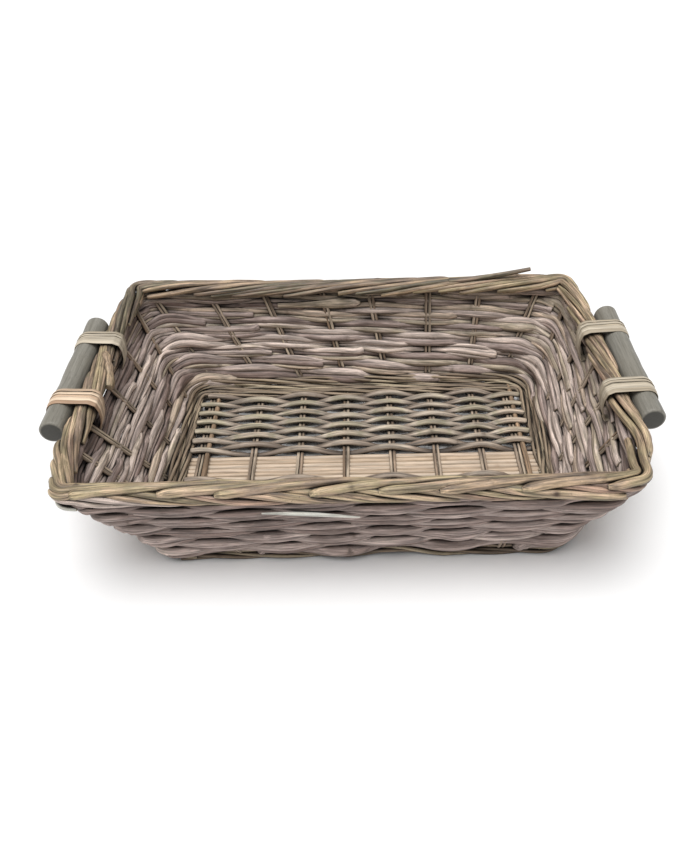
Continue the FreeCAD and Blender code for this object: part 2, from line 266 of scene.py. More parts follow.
class RodBundle:
    """Rods gathered into one mesh, with what their material needs to know at every vertex."""

    def __init__(self):
        self.vertices = []
        self.faces = []
        self.grain = []
        self.tint = []
        self.mark = []
        self.cut = []

    def add(self, path, radius, rng, tint=None, sides=10, knots=True, flat=1.0, up=None, knot=None):
        """One rod along a path: radius has one value per point, flat squeezes it along up.

        knot is the place, as a share of the length and an angle round the rod, of one dark knot.
        """
        path = np.asarray(path, float)
        count = len(path)
        radius = np.broadcast_to(np.asarray(radius, float), (count,)).copy()
        steps = np.linalg.norm(np.diff(path, axis=0), axis=1)
        along = np.concatenate([[0.0], np.cumsum(steps)])
        angle = np.linspace(0, 2 * math.pi, sides, endpoint=False)
        cosine, sine = np.cos(angle), np.sin(angle)
        mark = np.zeros((count, sides))
        swell = 1 + wobble(along, rng, 0.03, 0.07)[:, None] * np.ones(sides)
        position = rng.uniform(20, 70) * MM
        while knots and position < along[-1]:
            bud = np.exp(-((along - position) / (2.2 * MM)) ** 2)[:, None]
            bud = bud * np.clip(np.cos(angle - rng.uniform(0, 7)), 0, 1) ** 2
            swell = swell + rng.uniform(0.1, 0.25) * bud
            mark = np.maximum(mark, bud * rng.uniform(0.3, 1.0))
            position += rng.uniform(40, 110) * MM
        if knot is not None:
            spot = np.exp(-((along - knot[0] * along[-1]) / KNOT_LENGTH) ** 2)[:, None]
            spot = spot * np.clip(np.cos(angle - knot[1]), 0, 1) ** 6
            swell = swell + 0.15 * spot
            mark = np.maximum(mark, KNOT_DARKNESS * spot)
        tangent = unit(np.gradient(path, axis=0))
        normal = np.zeros_like(path)
        first = np.array([0.0, 0.0, 1.0]) if up is None else np.asarray(up, float)
        if abs(first @ tangent[0]) > 0.9:
            first = np.array([1.0, 0.0, 0.0])
        for index in range(count):
            first = first - tangent[index] * (first @ tangent[index])
            first = first / np.linalg.norm(first)
            normal[index] = first
        side = np.cross(tangent, normal)

        rings = [(0, 0.001, -0.25 * MM, 1.0), (0, 0.86, -0.25 * MM, 1.0), (0, 1.0, 0.0, 0.0)]
        rings += [(index, 1.0, 0.0, 0.0) for index in range(1, count - 1)]
        rings += [(count - 1, 1.0, 0.0, 0.0), (count - 1, 0.86, 0.25 * MM, 1.0),
                  (count - 1, 0.001, 0.25 * MM, 1.0)]
        at = np.array([ring[0] for ring in rings])
        scale = np.array([ring[1] for ring in rings])
        push = np.array([ring[2] for ring in rings])
        cut = np.array([ring[3] for ring in rings])
        centre = path[at] + tangent[at] * push[:, None]
        reach = ((radius[at] * scale)[:, None] * swell[at])[..., None]
        points = centre[:, None, :] + reach * (
            normal[at][:, None, :] * cosine[None, :, None] * flat
            + side[at][:, None, :] * sine[None, :, None])

        base = sum(len(block) for block in self.vertices)
        ring_count = len(rings)
        self.vertices.append(points.reshape(-1, 3))
        row = np.arange(ring_count - 1)[:, None] * sides
        column = np.arange(sides)[None, :]
        following = (column + 1) % sides
        above = row + sides
        quads = np.stack([row + column, row + following, above + following, above + column], -1)
        self.faces.append(quads.reshape(-1, 4) + base)

        offset = rng.uniform(0, 10, 3)
        around = reach[..., 0]
        grain = np.stack([around * cosine, around * sine, np.repeat(along[at][:, None], sides, 1)], -1)
        self.grain.append(grain.reshape(-1, 3) + offset)
        value = rng.uniform(0, 1) if tint is None else tint
        value = np.broadcast_to(value, (count,))
        self.tint.append(np.repeat(value[at], sides))
        self.mark.append(mark[at].ravel())
        self.cut.append(np.repeat(cut, sides))

    def piece(self, name, material, slot, nodes):
        """The bundle as one object that rides on the basket and stands for some CAD nodes."""
        vertices = np.concatenate(self.vertices)
        faces = np.concatenate(self.faces)
        mesh = bpy.data.meshes.new(name)
        mesh.vertices.add(len(vertices))
        mesh.vertices.foreach_set("co", vertices.astype(np.float32).ravel())
        mesh.loops.add(faces.size)
        mesh.loops.foreach_set("vertex_index", faces.astype(np.int32).ravel())
        mesh.polygons.add(len(faces))
        mesh.polygons.foreach_set("loop_start", np.arange(0, faces.size, 4, dtype=np.int32))
        mesh.polygons.foreach_set("loop_total", np.full(len(faces), 4, np.int32))
        mesh.update(calc_edges=True)
        mesh.polygons.foreach_set("use_smooth", np.ones(len(faces), bool))
        for label, kind, blocks in (("grain", "FLOAT_VECTOR", self.grain), ("tint", "FLOAT", self.tint),
                                    ("mark", "FLOAT", self.mark), ("cut", "FLOAT", self.cut)):
            values = np.concatenate(blocks).astype(np.float32)
            layer = mesh.attributes.new(label, kind, "POINT")
            layer.data.foreach_set("vector" if kind == "FLOAT_VECTOR" else "value", values.ravel())
        return place(name, mesh, material, slot, nodes)


def place(name, mesh, material, slot, nodes):
    """Puts a finished mesh into the scene, on the basket's one body."""
    mesh.validate()
    mesh.materials.append(material)
    obj = bpy.data.objects.new(name, mesh)
    bpy.context.scene.collection.objects.link(obj)
    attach(obj, "root")
    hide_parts(*nodes)
    return obj


def wobble(along, rng, size, wave):
    """A smooth random bend along a rod: size is its reach and wave its usual length."""
    total = np.zeros_like(along)
    for octave in (1.0, 1.7, 2.9):
        total += np.sin(2 * math.pi * along * octave / wave + rng.uniform(0, 7)) / octave
    return total * size / 1.5


# ---- materials

def rgb(red, green, blue):
    """An sRGB colour, 0 to 255, as a linear colour with alpha."""
    def linear(value):
        value = value / 255
        return value / 12.92 if value <= 0.04045 else ((value + 0.055) / 1.055) ** 2.4
    return linear(red), linear(green), linear(blue), 1.0


class Nodes:
    """A short way to write a material's node tree."""

    def __init__(self, name):
        self.material = bpy.data.materials.new(name)
        self.material.use_nodes = True
        self.tree = self.material.node_tree
        self.shader = self.tree.nodes["Principled BSDF"]

    def node(self, kind, inputs=(), **settings):
        made = self.tree.nodes.new(kind)
        for key, value in settings.items():
            setattr(made, key, value)
        for key, value in dict(inputs).items():
            self.link(value, made.inputs[key])
        return made

    def link(self, value, socket):
        if isinstance(value, bpy.types.NodeSocket):
            self.tree.links.new(value, socket)
        else:
            socket.default_value = value

    def attribute(self, name, output="Fac"):
        return self.node("ShaderNodeAttribute", attribute_name=name).outputs[output]

    def noise(self, vector, scale, detail=3.0, roughness=0.55):
        inputs = {"Vector": vector, "Scale": scale, "Detail": detail, "Roughness": roughness}
        return self.node("ShaderNodeTexNoise", inputs).outputs["Fac"]

    def stretch(self, vector, amounts):
        return self.node("ShaderNodeVectorMath", {0: vector, 1: amounts}, operation="MULTIPLY").outputs[0]

    def span(self, value, low, high, to_low, to_high):
        inputs = {"Value": value, "From Min": low, "From Max": high, "To Min": to_low, "To Max": to_high}
        return self.node("ShaderNodeMapRange", inputs).outputs["Result"]

    def ramp(self, value, stops):
        made = self.node("ShaderNodeValToRGB", {"Fac": value})
        elements = made.color_ramp.elements
        while len(elements) < len(stops):
            elements.new(0.5)
        for element, (position, colour) in zip(elements, stops):
            element.position = position
            element.color = colour
        return made.outputs["Color"]

    def mix(self, share, first, second, blend="MIX"):
        made = self.node("ShaderNodeMix", data_type="RGBA", blend_type=blend)
        self.link(share, made.inputs["Factor"])
        self.link(first, made.inputs[6])
        self.link(second, made.inputs[7])
        return made.outputs[2]

    def math(self, operation, first, second):
        return self.node("ShaderNodeMath", {0: first, 1: second}, operation=operation).outputs[0]

    def painted_crevice_shade(self, colour, reach, strength):
        """Painted shade: darkens a colour in the narrow places between rods, found by ambient occlusion.
        """
        crevice = self.node("ShaderNodeAmbientOcclusion", {"Distance": reach}, samples=6).outputs["AO"]
        kept = self.span(crevice, 0.3, 0.88, 1 - strength, 1.0)
        return self.mix(1.0, colour, self.grey(kept), "MULTIPLY")

    def grey(self, value):
        return self.node("ShaderNodeCombineColor", {0: value, 1: value, 2: value}).outputs[0]

    def bump(self, height, distance, strength):
        inputs = {"Height": height, "Distance": distance, "Strength": strength}
        self.link(self.node("ShaderNodeBump", inputs).outputs["Normal"], self.shader.inputs["Normal"])


def willow_material(name, stops, cut_colour, dark_colour, roughness, contrast=1.0, scale=1.0, painted_crevice_shade=0.95):
    """Willow bark or peeled willow: streaks along each rod, blotches, bud scars, pale cut ends, and
    painted shade between rods whose strength the last argument sets.
    """
    nodes = Nodes(name)
    grain = nodes.attribute("grain", "Vector")
    tint = nodes.attribute("tint")
    long_grain = nodes.stretch(grain, (1.0, 1.0, 0.05))
    broad_streaks = nodes.noise(long_grain, 450 * scale, 2.0, 0.5)
    streaks = nodes.noise(long_grain, 1000 * scale, 3.0, 0.65)
    fibres = nodes.noise(long_grain, 3200 * scale, 2.0, 0.5)
    blotches = nodes.noise(nodes.stretch(grain, (1.0, 1.0, 0.35)), 70 * scale, 3.0, 0.6)
    specks = nodes.noise(nodes.stretch(grain, (1.0, 1.0, 0.6)), 900 * scale, 2.0, 0.7)

    shifted = nodes.math("ADD", tint, nodes.span(blotches, 0.3, 0.7, -0.15 * contrast, 0.15 * contrast))
    colour = nodes.ramp(shifted, stops)
    broad_tone = nodes.span(broad_streaks, 0.35, 0.65, 1 - 0.42 * contrast, 1 + 0.34 * contrast)
    fine_tone = nodes.span(streaks, 0.33, 0.67, 1 - 0.42 * contrast, 1 + 0.34 * contrast)
    tone = nodes.math("MULTIPLY", broad_tone, fine_tone)
    colour = nodes.mix(1.0, colour, nodes.grey(tone), "MULTIPLY")
    fleck = nodes.span(specks, 0.62, 0.74, 0.0, 0.55 * contrast)
    colour = nodes.mix(fleck, colour, dark_colour)
    colour = nodes.mix(nodes.math("MULTIPLY", nodes.attribute("mark"), 0.75), colour, dark_colour)
    colour = nodes.mix(nodes.attribute("cut"), colour, cut_colour)
    # Painted shade: ambient occlusion at two reaches darkens the gaps between rods.
    colour = nodes.painted_crevice_shade(colour, 9 * MM, 0.8 * painted_crevice_shade)
    nodes.link(nodes.painted_crevice_shade(colour, 3.2 * MM, 0.95 * painted_crevice_shade), nodes.shader.inputs["Base Color"])
    dullness = nodes.span(streaks, 0.3, 0.7, roughness - 0.1, roughness + 0.12)
    nodes.link(dullness, nodes.shader.inputs["Roughness"])
    height = nodes.math("ADD", streaks, nodes.math("MULTIPLY", fibres, 0.4))
    nodes.bump(height, 0.5 * MM, 0.55)
    return nodes.material


WALL_STOPS = [
    (0.00, rgb(132, 113, 105)), (0.22, rgb(177, 159, 151)), (0.42, rgb(197, 180, 169)),
    (0.62, rgb(223, 204, 192)), (0.80, rgb(182, 168, 147)), (1.00, rgb(205, 183, 163)),
]
BASE_STOPS = [
    (0.00, rgb(64, 52, 42)), (0.30, rgb(128, 113, 100)), (0.50, rgb(161, 146, 131)),
    (0.66, rgb(182, 169, 152)), (0.80, rgb(161, 152, 129)), (1.00, rgb(188, 171, 152)),
]
STAKE_STOPS = [(0.00, rgb(136, 114, 94)), (0.5, rgb(170, 152, 134)), (1.00, rgb(188, 172, 150))]
STRIP_STOPS = [(0.00, rgb(186, 163, 137)), (0.5, rgb(200, 178, 155)), (1.00, rgb(208, 190, 169))]
END_STICK_STOPS = [(0.00, rgb(142, 116, 92)), (0.5, rgb(162, 136, 110)), (1.00, rgb(150, 130, 106))]
GREY_STOPS = [(0.00, rgb(146, 145, 134)), (0.5, rgb(180, 179, 168)), (1.00, rgb(208, 206, 196))]
UPSETT_STOPS = [(0.00, rgb(100, 84, 68)), (0.5, rgb(146, 128, 108)), (1.00, rgb(176, 160, 134))]
BORDER_STOPS = [
    (0.00, rgb(103, 93, 80)), (0.18, rgb(118, 109, 87)), (0.34, rgb(138, 119, 103)),
    (0.50, rgb(170, 146, 120)), (0.66, rgb(158, 143, 112)), (0.85, rgb(186, 161, 135)),
    (1.00, rgb(177, 146, 126)),
]

DARK_BARK = rgb(70, 54, 42)
PALE_WOOD = rgb(214, 196, 168)
wall_willow = willow_material("wall_willow", WALL_STOPS, PALE_WOOD, DARK_BARK, 0.62)
base_willow = willow_material("base_willow", BASE_STOPS, PALE_WOOD, DARK_BARK, 0.62)
stake_willow = willow_material("stake_willow", STAKE_STOPS, PALE_WOOD, DARK_BARK, 0.62)
# The strip's rods get only a little painted shade between them.
strip_willow = willow_material("strip_willow", STRIP_STOPS, rgb(236, 220, 196), rgb(150, 118, 88),
                               0.5, 0.5, painted_crevice_shade=0.1)
end_stick_willow = willow_material("end_stick_willow", END_STICK_STOPS, PALE_WOOD, DARK_BARK, 0.58)
upsett_willow = willow_material("upsett_willow", UPSETT_STOPS, PALE_WOOD, DARK_BARK, 0.62)
grey_willow = willow_material("grey_willow", GREY_STOPS, PALE_WOOD, DARK_BARK, 0.6, 0.8)
border_willow = willow_material("border_willow", BORDER_STOPS, PALE_WOOD, DARK_BARK, 0.5, 1.3)


# ---- stakes, end sticks and strip rods

def bend_path(points, radius, step):
    """Straight runs joined by arcs, sampled every step."""
    points = [np.asarray(point, float) for point in points]
    samples = [points[0]]
    for before, corner, after in zip(points, points[1:], points[2:]):
        to_before = unit(before - corner)
        to_after = unit(after - corner)
        half = math.acos(np.clip(to_before @ to_after, -1, 1)) / 2
        if half > math.radians(88):
            samples.append(corner)
            continue
        reach = radius / math.tan(half)
        middle = unit(to_before + to_after)
        centre = corner + middle * radius / math.sin(half)
        start = corner + to_before * reach
        end = corner + to_after * reach
        for share in np.linspace(0, 1, 7):
            blended = unit((start - centre) * (1 - share) + (end - centre) * share)
            samples.append(centre + blended * radius)
    samples.append(points[-1])
    return resample(np.array(samples), step)


def resample(points, step):
    """The same line with points evenly spaced."""
    lengths = np.concatenate([[0.0], np.cumsum(np.linalg.norm(np.diff(points, axis=0), axis=1))])
    count = max(int(round(lengths[-1] / step)) + 1, 3)
    wanted = np.linspace(0, lengths[-1], count)
    return np.stack([np.interp(wanted, lengths, points[:, axis]) for axis in range(3)], -1)


def wall_stake_points(index, offset):
    """A stake's line up a wall: sampled points from the base to inside the border."""
    heights = np.linspace(STAKE_Z, STAKE_TOP, 12)
    station = np.full(heights.shape, float(index))
    points = surface(station, heights)
    sideways = unit(surface(station + 0.05, heights) - surface(station - 0.05, heights))
    return points + sideways * offset


def make_stakes():
    """The long pairs from wall to wall under the base weave, and the short pairs in the short walls."""
    half_gap = STAKE_RADIUS + 0.1 * MM
    for number in range(1, LONG_STAKES + 1):
        rng = np.random.default_rng(100 + number)
        bundle = RodBundle()
        front_index = number - 1
        back_index = FIRST_STATION["left"] - number
        for sign in (-1, 1):
            front = wall_stake_points(front_index, sign * half_gap)[::-1]
            back = wall_stake_points(back_index, -sign * half_gap)
            inner = front[-1] + (back[0] - front[-1]) * 0.15
            inner[2] = STAKE_Z
            path = bend_path([front[0], front[-1], inner, back[0], back[-1]], 9 * MM, 3 * MM)
            far = np.linalg.norm(path - path[0], axis=1)
            path[:, 0] += wobble(far, rng, 0.25 * MM, 0.12)
            bundle.add(path, STAKE_RADIUS * rng.uniform(0.94, 1.04), rng, sides=10)
        node = "stake_pair_%d" % number
        bundle.piece("stake_pair_rods_%d" % number, stake_willow, "stake_willow", [node])
    for wall, inward in (("right", -1), ("left", 1)):
        first_index = FIRST_STATION[wall]
        for order in range(SIDE_STAKES):
            number = order + 1 if wall == "right" else SIDE_STAKES - order
            rng = np.random.default_rng(200 + first_index + number)
            bundle = RodBundle()
            for sign in (-1, 1):
                line = wall_stake_points(first_index + order, sign * half_gap)
                foot = line[0] + np.array([inward * 13 * MM, 0, 0])
                path = bend_path([foot, line[0], line[-1]], 4.5 * MM, 3 * MM)
                bundle.add(path, STAKE_RADIUS * rng.uniform(0.94, 1.04), rng, sides=10)
            node = "%s_stake_pair_%d" % (wall, number)
            bundle.piece(node.replace("pair", "rods"), stake_willow, "stake_willow", [node])


def make_end_sticks():
    """One thick stick beside the last stake pair at each end of the base."""
    for number, side in enumerate(("left", "right")):
        rng = np.random.default_rng(300 + number)
        node = "end_stick_" + side
        low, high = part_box(node)
        middle = (low + high) / 2
        y = np.linspace(low.y, high.y, 80)
        path = np.stack([middle.x + wobble(y, rng, 0.4 * MM, 0.16), y, np.full_like(y, middle.z)], -1)
        bundle = RodBundle()
        bundle.add(path, (high.z - low.z) / 2, rng, tint=0.45, sides=14)
        bundle.piece("end_stick_rod_" + side, end_stick_willow, "end_stick_willow", [node])


STRIP_FILL = 1.05               # the strip's rods are drawn a little thicker, which closes their gaps
STRIP_LIFT = 0.15 * MM


def make_strip_rods():
    """The band of straight, pale rods along the middle of the base."""
    for number in range(1, 7):
        rng = np.random.default_rng(320 + number)
        node = "strip_rod_%d" % number
        low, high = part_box(node)
        middle = (low + high) / 2
        start = low.x - rng.uniform(0, 4) * MM
        end = high.x + rng.uniform(0, 4) * MM
        x = np.linspace(start, end, 130)
        y = middle.y + wobble(x, rng, 0.15 * MM, 0.2)
        path = np.stack([x, y, np.full_like(x, middle.z + STRIP_LIFT)], -1)
        bundle = RodBundle()
        bundle.add(path, (high.z - low.z) / 2 * STRIP_FILL, rng, tint=rng.uniform(0.1, 0.9), sides=14)
        bundle.piece("strip_willow_rod_%d" % number, strip_willow, "strip_willow", [node])


# ---- the woven base

BASE_WEAVER_RADIUS = 3.6 * MM
BASE_WEAVER_FLAT = 0.8
BASE_EDGE = 12 * MM             # the outermost part of the base, which the wale covers
PALE_BASE_X = 105 * MM          # right of here some weavers of the base are paler
BASE_PITCH = 7.7 * MM
BASE_CORNER_RADIUS = 34 * MM
CROSS_STICK_SPACING = 50 * MM


def stick_index(x):
    """Counts cross sticks along X: a whole number over each stake pair."""
    places = np.array([STATIONS[index][2] for index in range(LONG_STAKES)])
    before = places[0] - CROSS_STICK_SPACING
    after = places[-1] + CROSS_STICK_SPACING
    return np.interp(x, np.concatenate([[before], places, [after]]), np.arange(-1, LONG_STAKES + 1))


def make_base_weave():
    """Weavers over and under the cross sticks, in front of and behind the strip."""
    low, high = level_extent(["upsett_front", "upsett_back", "upsett_left", "upsett_right"], 0.0)
    middle_x = (low[0] + high[0]) / 2
    for panel, side in (("front", -1), ("back", 1)):
        panel_low, panel_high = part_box("base_weave_" + panel)
        near = STRIP[1].y if side > 0 else -STRIP[0].y
        far = (panel_high.y if side > 0 else -panel_low.y) - BASE_EDGE
        count = int((far - near) / BASE_PITCH)
        pitch = (far - near) / count
        for number in range(count):
            rng = np.random.default_rng(400 + 40 * (side > 0) + number)
            reach = near + pitch * (number + 0.5)
            cut_off = max(reach - (high[1] - BASE_EDGE - BASE_CORNER_RADIUS), 0)
            corner_loss = BASE_CORNER_RADIUS - math.sqrt(max(BASE_CORNER_RADIUS ** 2 - cut_off ** 2, 0))
            half_length = (high[0] - low[0]) / 2 - 2 * MM - BASE_EDGE - corner_loss
            x = np.arange(middle_x - half_length, middle_x + half_length, 2.2 * MM)
            phase = stick_index(x) + number
            amount = np.cos(math.pi * phase)
            lift = STAKE_Z - BASE_WEAVER_RADIUS * BASE_WEAVER_FLAT
            z = STAKE_Z + amount * lift + foot_lift(x, np.full_like(x, side * reach), STAKE_Z)
            y = side * reach + wobble(x, rng, 0.5 * MM, 0.11) + 0.5 * MM * amount
            radius = BASE_WEAVER_RADIUS * rng.uniform(0.9, 1.06)
            taper = np.linspace(1.06, 0.94, len(x))
            if rng.random() < 0.5:
                taper = taper[::-1]
            tint = rng.uniform(0.4, 1.0)
            if panel == "back" and number % 2:
                tint = tint + (1 - tint) * smooth_step((x - PALE_BASE_X) / (40 * MM))
            # Painted shade: a weaver's tint darkens where it dips down under a cross stick.
            tint = tint * np.clip(0.62 + 0.5 * amount, 0.05, 1)
            bundle = RodBundle()
            bundle.add(np.stack([x, y, z], -1), radius * taper, rng, tint=tint, sides=12,
                       flat=BASE_WEAVER_FLAT, up=(0, 0, 1))
            name = "base_weaver_%s_%d" % (panel, number + 1)
            bundle.piece(name, base_willow, "base_willow", ["base_weave_" + panel])


# ---- the upsett wale

# Each round of the wale: height and distance inside the wall's middle in mm, and steepness in degrees.
WALE_ROUNDS = ((9.0, 18.0, 12), (8.6, 13.5, 18), (8.6, 9.0, 30), (9.6, 5.0, 52), (12.6, 2.6, 72),
               (16.6, 1.2, 82), (3.6, 1.4, 90))
WALE_RODS = 3                   # in every round
WALE_LEVEL = 8 * MM             # the height at which the wall's middle is taken
WALE_TURNS = 9.5                # twists of a round in going once about the basket
WALE_TWIST = 2.2 * MM
WALE_RADIUS = 1.95 * MM
SIDE_WALE_NARROWING = 0.45      # the share by which the wale is narrower at the two short walls


def make_upsett():
    """Rounds of three thin rods each, twisted over and under the stakes from the base up to the wall."""
    station = np.arange(0, STATION_COUNT + 0.3, 0.045)
    distance = station * 60 * MM
    upright = np.array([0.0, 0.0, 1.0])
    level = np.full(station.shape, WALE_LEVEL)
    out = unit(outward(station, level) * np.array([1.0, 1.0, 0.0]))
    narrowing = 1 - SIDE_WALE_NARROWING * smooth_step(np.abs(out[:, :1]) * 2 - 0.8)
    for round_number, (height, inside, steep) in enumerate(WALE_ROUNDS):
        steep = math.radians(steep)
        for number in range(WALE_RODS):
            rng = np.random.default_rng(500 + 10 * round_number + number)
            turns = WALE_TURNS * station / STATION_COUNT + number / WALE_RODS
            turn = 2 * math.pi * turns + 1.3 * round_number
            spread = (WALE_TWIST * np.sin(turn) + wobble(distance, rng, 1.3 * MM, 0.3))[:, None]
            over = (WALE_TWIST * np.cos(turn) + wobble(distance, rng, 0.4 * MM, 0.2))[:, None]
            path = surface(station, level) - out * inside * MM * narrowing
            path[:, 2] += height * MM - WALE_LEVEL
            path += spread * (out * math.cos(steep) + upright * math.sin(steep))
            path += over * (upright * math.cos(steep) - out * math.sin(steep))
            path[:, 2] = np.maximum(path[:, 2], WALE_RADIUS)
            bundle = RodBundle()
            bundle.add(path, WALE_RADIUS * rng.uniform(0.85, 1.12), rng, sides=8)
            wall = WALLS[(round_number * WALE_RODS + number) % 4]
            name = "upsett_rod_%d" % (round_number * WALE_RODS + number + 1)
            bundle.piece(name, upsett_willow, "upsett_willow", ["upsett_" + wall])


# ---- the woven walls

WALL_LINES = 8                  # weaving lines that climb side by side, each two rods thick
WALL_ROWS = 10                  # lines that lie one above the other at any stake
ROW_START = 10.0 * MM
ROW_END = RIM_MIDDLE_Z + 1 * MM
WEAVER_STEP = 0.04              # stations between the points of a weaver
BUTT_LEAD = 0.3                 # stations by which a butt overlaps the rods that make room for it
TIP_TRAIL = 0.4                 # and the same for a tip
FRONT_LEAN = 1.6 * MM           # how far rods settle up or down where they pass a stake
BACK_LEAN = 0.7 * MM
SIDE_LEAN = 1.4 * MM
CORNER_STATIONS = (7.5, 13.8, 21.5, 27.5)
CORNER_THICKENING = 0.2         # rods are drawn thicker where the wall turns a corner
ROW_WANDER = 0.8 * MM
WEAVER_FLAT = 0.8
OUTER_SPLAY = 0.45              # the share by which paired rods spread apart outside a stake
INNER_SPLAY = 0.22              # and inside one
FRONT_PAINTED_SHADE = 0.85          # painted shade: the front wall's rods are drawn darker than the others


def line_level(line, station):
    """How many rows above the foot a weaving line lies: every line climbs as it goes round."""
    return line + WALL_LINES * (station - FIRST_STATION["back"]) / STATION_COUNT


def line_station(line, level):
    """The station at which a weaving line reaches a level."""
    return FIRST_STATION["back"] + (level - line) * STATION_COUNT / WALL_LINES


wave_rng = np.random.default_rng(7)
ROW_WAVES = [(count, wave_rng.uniform(0, 7), wave_rng.uniform(-30, 30), wave_rng.uniform(0.4, 1.0))
             for count in (2, 3, 5, 7, 9, 12, 15)]


def row_height(level, station):
    """Height of a row's lower edge: rows get thinner towards the rim and wander a little."""
    share = np.clip(level / WALL_ROWS, 0, 1)
    z = ROW_START + (ROW_END - ROW_START) * (1.16 * share - 0.16 * share ** 2)
    wave = np.zeros(np.broadcast(station, z).shape)
    for count, start, lean, size in ROW_WAVES:
        wave += size * np.sin(2 * math.pi * count * station / STATION_COUNT + start + lean * z)
    calm = smooth_step(share * 5) * smooth_step((1 - share) * 5)
    return z + ROW_WANDER * wave * calm


def lean_at(points):
    """How far rods outside a stake settle: well upwards on the front wall, downwards on the others."""
    front = 1 - smooth_step((points[:, 1] + 150 * MM) / (50 * MM))
    side = smooth_step((np.abs(points[:, 0]) - 150 * MM) / (50 * MM))
    lean = BACK_LEAN + (SIDE_LEAN - BACK_LEAN) * side
    return FRONT_LEAN * front - lean * (1 - front)


def next_butt(line, station):
    """The first place past a station where a rod may start: inside, just before a stake it covers."""
    stake = math.ceil(station + 0.3)
    if (stake + line) % 2 == 0:
        stake += 1
    return stake - 0.3


def rods_of_line(line, rng):
    """Every rod of a weaving line, lowest first: two rods side by side, each laid on the one before."""
    rods = []
    for lane, first_level in ((0, -0.45), (1, -0.65)):
        start = next_butt(line, line_station(line, first_level))
        finish = line_station(line, WALL_ROWS + 0.15)
        while start < finish - 3:
            end = start + rng.uniform(8.5, 13.5)
            if finish - end < 4:
                end = finish
            rods.append({"lane": lane, "start": start, "end": end, "butt": rng.uniform(2.8, 3.4) * MM,
                         "tip": rng.uniform(1.5, 2.1) * MM, "tint": rng.uniform(0, 1)})
            start = next_butt(line, end - rng.uniform(2.0, 4.5)) if end < finish else finish
    return rods


def weaver_radius(rod, line, station):
    """A weaver's own radius: thick at the butt, thinner to the tip, thinner too near the rim."""
    share = np.clip((station - rod["start"]) / (rod["end"] - rod["start"]), 0, 1)
    level = np.clip(line_level(line, station) / WALL_ROWS, 0, 1)
    after = np.clip((station - rod["end"]) / TIP_TRAIL, 0, 1)
    own = rod["butt"] + (rod["tip"] - rod["butt"]) * share ** 1.3
    return own * (1.15 - 0.3 * level) * (1 - 0.5 * after)


def weaver_room(rod, line, station):
    """The room that a weaver takes in its row, opening before its butt and closing after its tip."""
    opening = smooth_step((station - rod["start"]) / BUTT_LEAD + 1)
    closing = smooth_step((rod["end"] - station) / TIP_TRAIL + 1)
    return 2 * weaver_radius(rod, line, station) * (opening * closing)


def near_corner(station):
    """One at the corners of the basket, falling to nothing along the walls."""
    places = station % STATION_COUNT
    return sum(np.exp(-((places - corner) / 1.1) ** 2) for corner in CORNER_STATIONS)


def make_wall_weave():
    """The weaving lines: each rod passes outside one stake pair and inside the next."""
    for line in range(WALL_LINES):
        rng = np.random.default_rng(600 + line)
        rods = rods_of_line(line, rng)
        bundles = [RodBundle(), RodBundle()]
        for index, rod in enumerate(rods):
            station = np.arange(rod["start"] - BUTT_LEAD, rod["end"] + TIP_TRAIL, WEAVER_STEP)
            level = line_level(line, station)
            low = row_height(level, station)
            row = row_height(level + 1, station) - low
            rooms = [weaver_room(other, line, station) for other in rods]
            total = sum(rooms)
            below = sum(rooms[:index]) + rooms[index] / 2
            drift = wobble(station * 60 * MM, rng, 0.35 * MM, 0.25)
            z = low + row * below / np.maximum(total, 1 * MM) + drift
            fill = np.clip(1.5 * row / np.maximum(total, 1 * MM), 0.7, 1.7)
            radius = weaver_radius(rod, line, station) * fill
            crossing = -np.cos(math.pi * (station + line + 1))
            outer = np.clip(crossing, 0, 1)
            before = np.clip(1 - (station - rod["start"] + BUTT_LEAD) / 0.6, 0, 1)
            depth = (0.75 * STAKE_RADIUS + 0.42 * radius) * crossing * (1 - 0.2 * outer)
            splay = 1 + OUTER_SPLAY * outer + INNER_SPLAY * np.clip(-crossing, 0, 1)
            z = low + row / 2 + (z - low - row / 2) * splay
            z = z + crossing * lean_at(surface(station, z))
            radius = radius * (1 + 0.5 * (splay - 1)) * (1 - 0.2 * before ** 3)
            depth = depth - 1.8 * MM * before
            radius = radius * (1 + CORNER_THICKENING * near_corner(station))
            path = surface(station, z) + outward(station, z) * depth[:, None]
            facing = outward(station[:1], z[:1])[0]
            # Painted shade: rods towards the front get a darker tint, standing in for shade on the front
            # wall.
            front = smooth_step((-path[:, 1] - 95 * MM) / (60 * MM))
            tint = rod["tint"] * (1 - FRONT_PAINTED_SHADE * front)
            bundles[rod["lane"]].add(path, radius, rng, tint=tint, sides=10, flat=WEAVER_FLAT, up=facing)
        for lane, bundle in enumerate(bundles):
            node = WALL_NODES[(2 * line + lane) % len(WALL_NODES)]
            name = "wall_weavers_line_%d_%s" % (line + 1, ("lower", "upper")[lane])
            bundle.piece(name, wall_willow, "wall_willow", [node])


# ---- the plaited border

RAISED_PLACE = 20.9             # the border stands a little higher near the back left corner
RAISED_REACH = 1.7
RAISED_BY = np.array([-2.0, 1.8, 3.0]) * MM
TUCKED_CORNERS = (7.7, 27.4)    # its under rods are pulled in at both front corners
CUT_PLACE = 7.75                # and the front right corner is pulled in as a whole
CUT_REACH = 0.55
CUT_BY = np.array([-1.5, 3.0, 0.5]) * MM
BULGE_REACH = 30 * MM           # in front of each handle the border bulges outwards
LEFT_BULGE = 4 * MM
RIGHT_BULGE = 5 * MM


